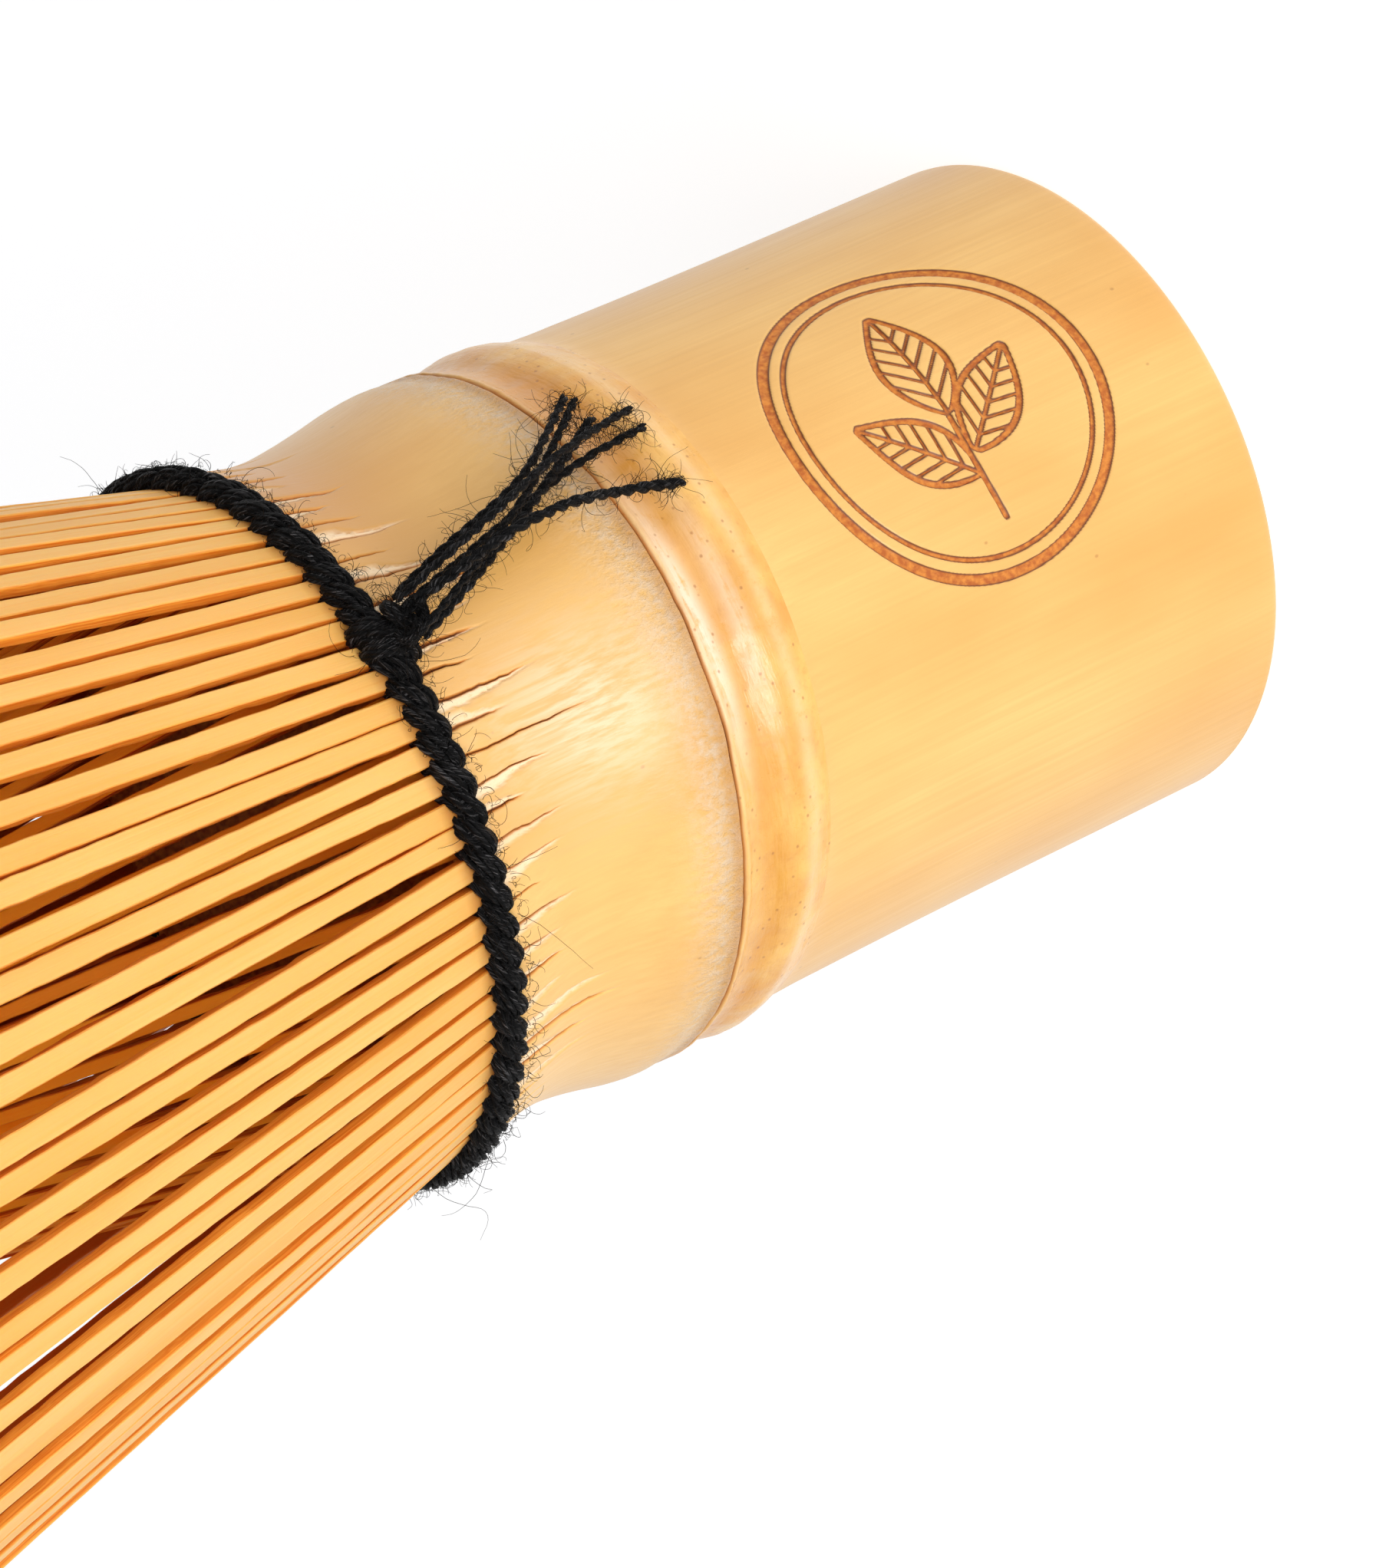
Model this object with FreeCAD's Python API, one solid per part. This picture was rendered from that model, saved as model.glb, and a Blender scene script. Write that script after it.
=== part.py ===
import FreeCAD, Part
import math
import os

# Bamboo tea whisk, standing on the flat end of its handle.
# Millimetres. The origin is the centre of the handle's end face and +Z runs up to the tines.
# An angle round the whisk is counted from the front (-Y) towards +X.
os.makedirs("parts", exist_ok=True)

# ---- culm: the bamboo tube that everything is cut from ----
HANDLE_R = 12.5            # handle outside
HOLLOW_R = 7.0             # natural hollow of the culm, below the node
UPPER_HOLLOW_R = 7.8       # the same above the node's membrane, cleaned out a little wider
END_ROUND = 0.5            # softened outer edge of the handle's end
END_BEVEL = 0.3            # softened inner edge of the handle's end
RIDGE_Z = 20.7             # handle side of the swollen node
SCAR_Z = 24.7              # fine groove left by the leaf sheath
GROOVE = 0.15              # depth and half width of that groove
RIDGE_R = 12.85            # crest of the node's ridge
RIDGE_DIP_R = 12.68        # dip between the ridge and the groove
SHOULDER_R = 12.95         # crest just above the groove
WAIST_R = 12.25            # narrowest place of the neck
WAIST_Z = 31.0
NECK_TOP_R = 12.6          # outside of the wall under the thread
NECK_TOP_Z = 34.4          # where the thread sits down on the neck
COLLAR_TOP_Z = 36.3        # end of the solid wall, at the roots of the tines
SPLIT_BORE_R = 11.2        # inside of the pared wall that carries the tines
PARE_START_Z = 29.5        # where paring of the inside begins
PARE_END_Z = 33.6
DIAPHRAGM_Z = 21.2         # lower face of the membrane that closes the hollow
DIAPHRAGM_T = 1.8

# ---- tines ----
SPLITS = 16                # the culm is split into sixteen staves first
TINES_PER_SPLIT = 5        # each stave gives five outer and five inner tines
TINE_PITCH = 360.0 / (SPLITS * TINES_PER_SPLIT)
FIRST_ANGLE = 1.3          # middle of the first stave, from the front
ROOT_Z = COLLAR_TOP_Z + 0.1

OUTER_W = 0.62             # width along the circle
OUTER_ROOT_T = 0.55        # thickness at the root
OUTER_TIP_T = 0.25         # thickness at the tip
OUTER_ROOT_R = 12.65       # middle of the thickness at the root
OUTER_LEAN = 14.0          # degrees outward from upright
OUTER_CURL_Z = 101.0       # where the curled tip begins
OUTER_CURL_R = 4.6         # radius of the curl
OUTER_CURL_TURN = 160.0    # degrees the tip turns through

INNER_W = 0.34
INNER_ROOT_T = 0.40
INNER_TIP_T = 0.22
INNER_ROOT_R = 11.7
BUNDLE_R = 6.8             # radius of the gathered inner tines
GATHER_Z = 62.0            # height where they have come together
INNER_BEND_R = 60.0        # radius of the bend into the bundle
INNER_CURL_Z = 96.0
INNER_CURL_R = 1.1
INNER_CURL_TURN = 100.0

# ---- thread ----
YARN_R = 0.43              # half the thickness of one round of twined thread
ROUND_R = 13.08            # radius of the rounds' centre line
ROUND_HEIGHTS = (34.86, 35.78)
KNOT_ANGLE = 19.5
KNOT_Z = 34.9
KNOT_R = 14.0
KNOT_HALF = 0.75           # half length of each of the knot's two turns
KNOT_YARN_R = 0.45
KNOT_CROSS = 38.0          # degrees each turn leans from upright
TAIL_R = 0.22              # half the thickness of a loose end
# Loose ends: angle, height and radius of points along each one, from the knot outward.
TAIL_ROUTES = (
    ((22.8, 34.7, 14.1), (25.1, 32.5, 14.8), (26.6, 30.3, 15.3), (28.9, 28.4, 15.4),
     (33.4, 26.6, 15.3), (38.8, 24.7, 15.0)),
    ((16.1, 34.9, 14.4), (18.8, 33.1, 14.8), (22.7, 30.9, 14.9), (27.4, 28.5, 14.9),
     (33.3, 26.1, 14.8), (39.8, 24.0, 14.4)),
    ((16.4, 34.4, 13.8), (19.2, 32.5, 14.1), (23.3, 30.2, 14.3), (28.0, 27.7, 14.3),
     (33.1, 25.3, 14.2), (37.1, 23.7, 13.9)),
    ((21.4, 34.9, 14.6), (23.1, 32.8, 15.4), (25.1, 30.3, 15.9), (28.5, 27.6, 15.8),
     (31.2, 25.0, 15.3), (33.8, 22.8, 14.6)),
    ((22.0, 34.2, 13.6), (24.2, 31.8, 13.8), (27.1, 29.4, 13.7), (30.0, 27.0, 13.7),
     (32.0, 24.5, 13.8), (33.0, 22.1, 13.6)),
    ((20.4, 34.3, 14.5), (21.2, 32.3, 15.3), (22.4, 30.0, 15.6), (23.1, 27.6, 15.3),
     (22.9, 25.1, 14.5), (21.5, 22.6, 13.9)),
)
ARC_SHARE = 0.45           # share of the shorter run that each bend takes up


def point(r, z):
    """A point of a profile in the plane through the axis."""
    return FreeCAD.Vector(r, 0.0, z)


def around(angle, z, r):
    """A point given by its angle from the front, its height and its radius."""
    a = math.radians(angle)
    return FreeCAD.Vector(r * math.sin(a), -r * math.cos(a), z)


def line(a, b):
    return Part.LineSegment(a, b).toShape()


def arc(a, middle, b):
    return Part.Arc(a, middle, b).toShape()


def polyline(points):
    return [line(a, b) for a, b in zip(points, points[1:])]


def face_of(edges):
    return Part.Face(Part.Wire(edges))


def turned(edges):
    """The solid swept by a closed profile turned once round the whisk's axis."""
    return face_of(edges).revolve(FreeCAD.Vector(0, 0, 0), FreeCAD.Vector(0, 0, 1), 360)


def placed(shape, angle):
    """A shape made in the XZ plane, moved round to its angle from the front."""
    copy = shape.copy()
    copy.rotate(FreeCAD.Vector(0, 0, 0), FreeCAD.Vector(0, 0, 1), angle - 90.0)
    return copy


def export(name, shape):
    shape.exportStep("parts/" + name + ".step")


def culm_handle():
    """Plain stretch of culm below the node, hollow from its end."""
    round_mid = END_ROUND * (1 - math.sqrt(0.5))
    edges = [arc(point(HANDLE_R - END_ROUND, 0),
                 point(HANDLE_R - round_mid, round_mid),
                 point(HANDLE_R, END_ROUND))]
    edges += polyline([point(HANDLE_R, END_ROUND),
                       point(HANDLE_R, RIDGE_Z),
                       point(HOLLOW_R, RIDGE_Z),
                       point(HOLLOW_R, END_BEVEL),
                       point(HOLLOW_R + END_BEVEL, 0),
                       point(HANDLE_R - END_ROUND, 0)])
    return turned(edges)


def node_ring():
    """Swollen node, from the handle to the sheath scar."""
    crest_z = RIDGE_Z + (SCAR_Z - RIDGE_Z) / 3
    dip_z = SCAR_Z - GROOVE - 0.8
    scar_r = RIDGE_R - GROOVE
    edges = [arc(point(HANDLE_R, RIDGE_Z),
                 point((HANDLE_R + RIDGE_R) / 2, (RIDGE_Z + crest_z) / 2 - 0.2),
                 point(RIDGE_R, crest_z)),
             arc(point(RIDGE_R, crest_z),
                 point(RIDGE_DIP_R, dip_z),
                 point(RIDGE_R, SCAR_Z - GROOVE))]
    edges += polyline([point(RIDGE_R, SCAR_Z - GROOVE),
                       point(scar_r, SCAR_Z),
                       point(UPPER_HOLLOW_R, SCAR_Z),
                       point(UPPER_HOLLOW_R, DIAPHRAGM_Z),
                       point(HOLLOW_R, DIAPHRAGM_Z),
                       point(HOLLOW_R, RIDGE_Z),
                       point(HANDLE_R, RIDGE_Z)])
    return turned(edges)


def node_diaphragm():
    """Membrane that closes the hollow inside the node, on the ledge under it."""
    return Part.makeCylinder(UPPER_HOLLOW_R, DIAPHRAGM_T, FreeCAD.Vector(0, 0, DIAPHRAGM_Z))


def neck_collar():
    """Culm above the node, pared thin inside towards the roots of the tines."""
    scar_r = RIDGE_R - GROOVE
    shoulder = point(SHOULDER_R, SCAR_Z + 1.2)
    edges = [arc(point(RIDGE_R, SCAR_Z + GROOVE),
                 point((RIDGE_R + SHOULDER_R) / 2 + 0.03, SCAR_Z + 0.6),
                 shoulder),
             arc(shoulder,
                 point(WAIST_R, WAIST_Z),
                 point(NECK_TOP_R, NECK_TOP_Z))]
    edges += polyline([point(NECK_TOP_R, NECK_TOP_Z),
                       point(NECK_TOP_R, COLLAR_TOP_Z),
                       point(SPLIT_BORE_R, COLLAR_TOP_Z),
                       point(SPLIT_BORE_R, PARE_END_Z),
                       point(UPPER_HOLLOW_R, PARE_START_Z),
                       point(UPPER_HOLLOW_R, SCAR_Z),
                       point(scar_r, SCAR_Z),
                       point(RIDGE_R, SCAR_Z + GROOVE)])
    return turned(edges)


def curled_tip(start, heading, radius, turn, root_t, tip_t):
    """Edges of a tine's curled end, and the two corners where it meets the straight part.

    start is the middle of the tine where the curl begins and heading is its lean there, in
    degrees from upright towards the outside. The curl turns inward, over the top.
    """
    lean = math.radians(heading)
    inward = FreeCAD.Vector(-math.cos(lean), 0, math.sin(lean))
    centre = start + inward * radius

    def on_curl(distance, degrees):
        a = math.radians(degrees) - lean
        return centre + FreeCAD.Vector(math.cos(a), 0, math.sin(a)) * distance

    outer_start = on_curl(radius + root_t / 2, 0)
    inner_start = on_curl(radius - root_t / 2, 0)
    outer_end = on_curl(radius + tip_t / 2, turn)
    inner_end = on_curl(radius - tip_t / 2, turn)
    middle_t = (root_t + tip_t) / 2
    outer = arc(outer_start, on_curl(radius + middle_t / 2, turn / 2), outer_end)
    inner = arc(inner_end, on_curl(radius - middle_t / 2, turn / 2), inner_start)
    return [outer, line(outer_end, inner_end), inner], outer_start, inner_start


def slab(edges, width):
    """A flat profile given its width, half to each side of the plane."""
    solid = face_of(edges).extrude(FreeCAD.Vector(0, width, 0))
    solid.translate(FreeCAD.Vector(0, -width / 2, 0))
    return solid


def outer_tine():
    """One outer tine in the XZ plane: a straight leaning strip with a curled tip."""
    rise = OUTER_CURL_Z - ROOT_Z
    start = point(OUTER_ROOT_R + rise * math.tan(math.radians(OUTER_LEAN)), OUTER_CURL_Z)
    curl_t = OUTER_ROOT_T + (OUTER_TIP_T - OUTER_ROOT_T) * 0.8
    curl, outer_top, inner_top = curled_tip(start, OUTER_LEAN, OUTER_CURL_R, OUTER_CURL_TURN,
                                            curl_t, OUTER_TIP_T)
    outer_root = point(OUTER_ROOT_R + OUTER_ROOT_T / 2, ROOT_Z)
    inner_root = point(OUTER_ROOT_R - OUTER_ROOT_T / 2, ROOT_Z)
    sides = [line(outer_root, outer_top), line(inner_top, inner_root),
             line(inner_root, outer_root)]
    return slab([sides[0]] + curl + sides[1:], OUTER_W)


def inner_tine():
    """One inner tine: leans in from the collar, bends upright in the bundle, curls at its tip."""
    lean = math.atan2(INNER_ROOT_R - BUNDLE_R, GATHER_Z - ROOT_Z)
    reach = INNER_BEND_R * math.tan(lean / 2)
    mid_t = (INNER_ROOT_T + INNER_TIP_T) / 2

    def side(offset_root, offset_mid):
        """Root, bend start, bend middle and bend end along one face of the strip."""
        bend_r = INNER_BEND_R + offset_mid
        centre = point(BUNDLE_R + INNER_BEND_R, GATHER_Z + reach)
        root = point(INNER_ROOT_R - offset_root, ROOT_Z)
        return [root] + [centre - FreeCAD.Vector(math.cos(a), 0, math.sin(a)) * bend_r
                         for a in (lean, lean / 2, 0.0)]

    outside = side(-INNER_ROOT_T / 2, -mid_t / 2)
    inside = side(INNER_ROOT_T / 2, mid_t / 2)
    curl, outer_top, inner_top = curled_tip(point(BUNDLE_R, INNER_CURL_Z), 0.0, INNER_CURL_R,
                                            INNER_CURL_TURN, mid_t, INNER_TIP_T)
    edges = [line(outside[0], outside[1]), arc(*outside[1:]), line(outside[3], outer_top)]
    edges += curl
    edges += [line(inner_top, inside[3]), arc(*reversed(inside[1:])), line(inside[1], inside[0]),
              line(inside[0], outside[0])]
    return slab(edges, INNER_W)


def tine_group(tine, split):
    """The five tines of one stave, as separate solids."""
    first = split * TINES_PER_SPLIT - (TINES_PER_SPLIT - 1) / 2
    return Part.Compound([placed(tine, FIRST_ANGLE + (first + k) * TINE_PITCH)
                          for k in range(TINES_PER_SPLIT)])


def thread_round(height):
    """One round of the twined thread on the roots of the tines."""
    return Part.makeTorus(ROUND_R, YARN_R, FreeCAD.Vector(0, 0, height))


def capsule(a, b, radius):
    rod = Part.makeCylinder(radius, (b - a).Length, a, b - a)
    return rod.fuse([Part.makeSphere(radius, a), Part.makeSphere(radius, b)])


def thread_knot():
    """Overhand knot: two short turns of thread that cross."""
    centre = around(KNOT_ANGLE, KNOT_Z, KNOT_R)
    tangent = around(KNOT_ANGLE + 90.0, 0.0, 1.0)
    turns = []
    for side in (-1, 1):
        a = math.radians(KNOT_CROSS) * side
        along = (tangent * math.sin(a) + FreeCAD.Vector(0, 0, math.cos(a))) * KNOT_HALF
        turns.append(capsule(centre - along, centre + along, KNOT_YARN_R))
    return turns[0].fuse(turns[1]).removeSplitter()


def tail_path(points):
    """Straight runs joined by tangent arcs through the bends of a loose end."""
    edges = []
    here = points[0]
    for before, corner, after in zip(points, points[1:], points[2:]):
        shorter = min((corner - before).Length, (after - corner).Length)
        trim = ARC_SHARE * shorter
        back = (before - corner).normalize()
        on = (after - corner).normalize()
        start = corner + back * trim
        end = corner + on * trim
        half = (math.pi - back.getAngle(on)) / 2
        radius = trim / math.tan(half)
        bisector = (back + on).normalize()
        middle = corner + bisector * (radius / math.cos(half) - radius)
        edges += [line(here, start), arc(start, middle, end)]
        here = end
        print("bend radius %.1f" % radius)
    return edges + [line(here, points[-1])]


def thread_tail(route):
    """One loose end of thread: a tube along its route."""
    points = [around(*place) for place in route]
    path = Part.Wire(tail_path(points))
    section = Part.Wire(Part.makeCircle(TAIL_R, points[0], points[1] - points[0]))
    tube = path.makePipeShell([section], True, True)
    ideal = math.pi * TAIL_R ** 2 * path.Length
    print("tail length %.1f, volume over ideal %.3f" % (path.Length, tube.Volume / ideal))
    return tube


export("culm_handle", culm_handle())
export("node_ring", node_ring())
export("node_diaphragm", node_diaphragm())
export("neck_collar", neck_collar())

outer = outer_tine()
inner = inner_tine()
for split in range(SPLITS):
    export("outer_tines_%02d" % (split + 1), tine_group(outer, split))
    export("inner_tines_%02d" % (split + 1), tine_group(inner, split))

for number, height in enumerate(ROUND_HEIGHTS, 1):
    export("thread_round_%d" % number, thread_round(height))
export("thread_knot", thread_knot())
for number, route in enumerate(TAIL_ROUTES, 1):
    export("thread_tail_%d" % number, thread_tail(route))
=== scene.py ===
import math
import bpy
import numpy as np
from mathutils import Matrix, Vector, noise


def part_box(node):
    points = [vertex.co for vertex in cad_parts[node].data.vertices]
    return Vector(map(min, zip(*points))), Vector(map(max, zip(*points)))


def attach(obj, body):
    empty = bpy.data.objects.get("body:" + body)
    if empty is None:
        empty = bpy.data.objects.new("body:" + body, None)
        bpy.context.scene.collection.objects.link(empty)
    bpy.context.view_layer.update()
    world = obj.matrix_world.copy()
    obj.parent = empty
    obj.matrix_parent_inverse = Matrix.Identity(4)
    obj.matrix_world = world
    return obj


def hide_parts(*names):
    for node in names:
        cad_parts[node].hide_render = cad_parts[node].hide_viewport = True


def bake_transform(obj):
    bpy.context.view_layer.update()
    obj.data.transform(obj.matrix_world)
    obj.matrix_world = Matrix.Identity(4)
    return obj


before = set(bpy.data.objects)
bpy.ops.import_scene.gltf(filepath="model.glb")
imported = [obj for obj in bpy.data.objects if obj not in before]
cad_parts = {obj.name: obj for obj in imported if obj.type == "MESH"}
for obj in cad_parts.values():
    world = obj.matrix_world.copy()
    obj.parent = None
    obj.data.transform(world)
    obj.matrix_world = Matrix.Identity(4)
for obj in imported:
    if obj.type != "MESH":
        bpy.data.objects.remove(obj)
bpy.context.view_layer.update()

# Bamboo tea whisk. Mesh code works in millimetres in the frame's own axes; Shape.piece()
# converts. An angle round the whisk is counted in degrees from the front (-Y) towards +X.
MM = 0.001
rng = np.random.default_rng(11)


def top_mm(node):
    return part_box(node)[1][2] / MM


# ---- sizes read from the frame ----
HANDLE_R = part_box("culm_handle")[1][0] / MM
RIDGE_Z = top_mm("culm_handle")
SCAR_Z = top_mm("node_ring")
DIAPHRAGM_TOP_Z = top_mm("node_diaphragm")
THREAD_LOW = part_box("thread_round_1")[0][2] / MM
THREAD_HIGH = top_mm("thread_round_2")
TINE_TOP_Z = top_mm("outer_tines_01")
INNER_TOP_Z = top_mm("inner_tines_01")

# ---- the same design values as the frame's solids ----
HOLLOW_R = 7.0
UPPER_HOLLOW_R = 7.8
SPLIT_BORE_R = 11.2
SPLITS = 16
PER_SPLIT = 5
TINES = SPLITS * PER_SPLIT
PITCH = 360.0 / TINES
FIRST_ANGLE = 1.3
LEAN = 14.0
ROOT_Z = 36.4
ROOT_R = 12.65
INNER_ROOT_R = 11.7
TWINE_Z = (THREAD_LOW + THREAD_HIGH) / 2
TWINE_R = 12.72            # middle of the twined pair, inside the row of tines
TWINE_SWING = 0.31         # how far a yarn runs up and down the whisk as it passes a tine
YARN_RADIUS = 0.41
TWINE_TOP = TWINE_Z + TWINE_SWING + YARN_RADIUS
BUNDLE_R = 6.8             # the inner tines' bundle, from GATHER_Z up
GATHER_Z = 62.0
SHOULDER_Z = 21.2          # where the hollow below the node ends and the one above begins


# =====================================================================================
# mesh kit
# =====================================================================================

def smooth(low, high, x):
    """0 below low, 1 above high, smooth between."""
    t = np.clip((np.asarray(x, float) - low) / (high - low), 0.0, 1.0)
    return t * t * (3.0 - 2.0 * t)


def bell(x, width):
    return np.exp(-(np.asarray(x, float) / width) ** 2)


def curve_through(points, x):
    """A smooth curve through given (x, y) points, read at x."""
    xs, ys = np.array(points, float).T
    step = np.diff(xs)
    slope = np.diff(ys) / step
    lean = np.concatenate([slope[:1], (slope[:-1] * step[1:] + slope[1:] * step[:-1])
                           / (step[:-1] + step[1:]), slope[-1:]])
    x = np.clip(x, xs[0], xs[-1])
    i = np.clip(np.searchsorted(xs, x, side="right") - 1, 0, len(step) - 1)
    h = step[i]
    t = (x - xs[i]) / h
    return ((1 + 2 * t) * (1 - t) ** 2 * ys[i] + t * (1 - t) ** 2 * h * lean[i]
            + t * t * (3 - 2 * t) * ys[i + 1] + t * t * (t - 1) * h * lean[i + 1])


def rough(points, seed=0.0):
    """Perlin noise, about -1 to 1, at an array of 3-D points."""
    shape = np.shape(points)[:-1]
    flat = np.reshape(points, (-1, 3)) + seed * 13.7
    return np.array([noise.noise(Vector(p)) for p in flat]).reshape(shape)


def around(angle, z, r):
    """Points given by angle from the front, height and radius."""
    a = np.radians(angle)
    return np.stack(np.broadcast_arrays(r * np.sin(a), -r * np.cos(a), z), -1)


def turned(angle):
    """The same angle between -180 and 180."""
    return (np.asarray(angle) + 180.0) % 360.0 - 180.0


def outward(angle):
    a = math.radians(angle)
    return np.array([math.sin(a), -math.cos(a), 0.0])


def sideways(angle):
    """Direction of growing angle."""
    a = math.radians(angle)
    return np.array([math.cos(a), math.sin(a), 0.0])


def unit(v):
    return v / np.maximum(np.linalg.norm(v, axis=-1, keepdims=True), 1e-12)


def grid(rows, cols, wrap_rows=False, wrap_cols=False):
    """Quads of a grid of points numbered row by row."""
    r, c = np.meshgrid(np.arange(rows if wrap_rows else rows - 1),
                       np.arange(cols if wrap_cols else cols - 1), indexing="ij")
    r2, c2 = (r + 1) % rows, (c + 1) % cols
    return np.stack([r * cols + c, r * cols + c2, r2 * cols + c2, r2 * cols + c], -1).reshape(-1, 4)


class Shape:
    """Vertices, faces and per-vertex values gathered for one mesh."""

    def __init__(self):
        self.verts, self.faces, self.values, self.count = [], [], {}, 0

    def add(self, verts, faces, **values):
        """Adds points, faces that number them from 0, and values for each point."""
        verts = np.reshape(verts, (-1, 3))
        self.verts.append(verts)
        self.faces += [np.asarray(f) + self.count for f in faces]
        for name, value in values.items():
            width = (3,) if name == "grain" else ()
            value = np.broadcast_to(value, (len(verts),) + width)
            self.values.setdefault(name, []).append(np.array(value, float))
        self.count += len(verts)

    def add_tube(self, centres, across, up, section, **values):
        """A closed bar: section is (rings, points, 2) offsets along across and up."""
        rings, n = section.shape[:2]
        verts = (centres[:, None] + section[..., :1] * across[:, None]
                 + section[..., 1:] * up[:, None])
        ends = [np.arange(n)[::-1][None], (np.arange(n) + (rings - 1) * n)[None]]
        self.add(verts, [grid(rings, n, wrap_cols=True)] + ends, **values)

    def piece(self, name, material, body, replaced=(), sharp=None):
        """Makes the Blender object and hangs it in the frame."""
        mesh = bpy.data.meshes.new(name)
        verts = np.concatenate(self.verts) * MM
        corners = np.concatenate([f.ravel() for f in self.faces])
        sizes = np.concatenate([np.full(len(f), f.shape[1]) for f in self.faces])
        mesh.vertices.add(len(verts))
        mesh.vertices.foreach_set("co", verts.ravel())
        mesh.loops.add(len(corners))
        mesh.loops.foreach_set("vertex_index", corners.astype(np.int32))
        mesh.polygons.add(len(sizes))
        mesh.polygons.foreach_set("loop_start", (np.cumsum(sizes) - sizes).astype(np.int32))
        mesh.update(calc_edges=True)
        for key, parts in self.values.items():
            kind = "FLOAT_VECTOR" if key == "grain" else "FLOAT"
            layer = mesh.attributes.new(key, kind, "POINT")
            layer.data.foreach_set("vector" if key == "grain" else "value",
                                   np.concatenate(parts).astype(np.float32).ravel())
        mesh.shade_smooth()
        if sharp:
            mesh.set_sharp_from_angle(angle=math.radians(sharp))
        mesh.materials.append(material)
        obj = bpy.data.objects.new(name, mesh)
        bpy.context.scene.collection.objects.link(obj)
        if replaced:
            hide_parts(*replaced)
        if body:
            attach(obj, body)
        return obj


def frames_along(path, hint):
    """Two cross directions along a path, turned as little as possible."""
    tangent = unit(np.gradient(path, axis=0))
    side = np.empty_like(path)
    side[0] = unit(np.cross(hint, tangent[0]))
    for k in range(1, len(path)):
        s = side[k - 1] - tangent[k] * (side[k - 1] @ tangent[k])
        side[k] = s / np.linalg.norm(s)
    return side, np.cross(tangent, side)


def circle(sides):
    a = np.arange(sides) * 2 * math.pi / sides
    return np.stack([np.cos(a), np.sin(a)], -1)


# =====================================================================================
# materials
# =====================================================================================

class Nodes:
    """A node tree built with one call per node."""

    def __init__(self, name):
        self.material = bpy.data.materials.new(name)
        self.material.use_nodes = True
        self.tree = self.material.node_tree
        self.tree.nodes.clear()

    def add(self, kind, inputs=None, **settings):
        """A new node. An input is a value or another node's socket."""
        n = self.tree.nodes.new("ShaderNode" + kind)
        for key, value in settings.items():
            setattr(n, key, value)
        for key, value in (inputs or {}).items():
            if isinstance(value, bpy.types.NodeSocket):
                self.tree.links.new(value, n.inputs[key])
            else:
                n.inputs[key].default_value = value
        return n

    def attribute(self, name):
        n = self.add("Attribute", attribute_name=name)
        return n.outputs["Vector" if name == "grain" else "Fac"]

    def scaled(self, vector, scale):
        return self.add("Mapping", {"Vector": vector, "Scale": scale}).outputs[0]

    def noise(self, vector, detail=3.0, rough=0.55):
        """Noise with a grain of about one unit of vector."""
        return self.add("TexNoise", {"Vector": vector, "Scale": 1.0, "Detail": detail,
                                     "Roughness": rough}).outputs["Fac"]

    def cells(self, vector):
        """Distance to the nearest of scattered points, about one for each unit of vector."""
        return self.add("TexVoronoi", {"Vector": vector, "Scale": 1.0}).outputs["Distance"]

    def ramp(self, fac, *stops):
        """A grey ramp through (position, value) stops."""
        n = self.add("ValToRGB", {"Fac": fac})
        ramp = n.color_ramp
        while len(ramp.elements) < len(stops):
            ramp.elements.new(0.5)
        for e, (at, value) in zip(ramp.elements, stops):
            e.position = at
            e.color = (value, value, value, 1.0)
        return n.outputs[0]

    def mix(self, fac, a, b):
        """Colour a where fac is 0, colour b where it is 1."""
        n = self.add("Mix", data_type="RGBA", blend_type="MIX")
        for key, value in ((0, fac), (6, a), (7, b)):
            if isinstance(value, bpy.types.NodeSocket):
                self.tree.links.new(value, n.inputs[key])
            else:
                n.inputs[key].default_value = (*value, 1.0) if isinstance(value, tuple) else value
        return n.outputs[2]

    def math(self, operation, a, b=0.0):
        n = self.add("Math", {0: a, 1: b}, operation=operation)
        return n.outputs[0]

    def bump(self, height, distance, normal=None):
        """Relief of a height map, distance (mm) high, on top of an earlier one if given."""
        inputs = {"Height": height, "Distance": distance * MM, "Strength": 1.0}
        if normal:
            inputs["Normal"] = normal
        return self.add("Bump", inputs).outputs[0]

    def finish(self, **principled):
        """Ends the tree in a Principled shader. An underscore stands for a space in its inputs."""
        inputs = {key.replace("_", " "): value for key, value in principled.items()}
        shader = self.add("BsdfPrincipled", inputs)
        self.add("OutputMaterial", {"Surface": shader.outputs[0]})
        return self.material


def colour(r, g, b):
    """A colour as seen on a screen, 0-255, as the linear colour a shader wants."""
    return tuple((c / 255 / 12.92) if c < 10 else ((c / 255 + 0.055) / 1.055) ** 2.4
                 for c in (r, g, b))


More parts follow.
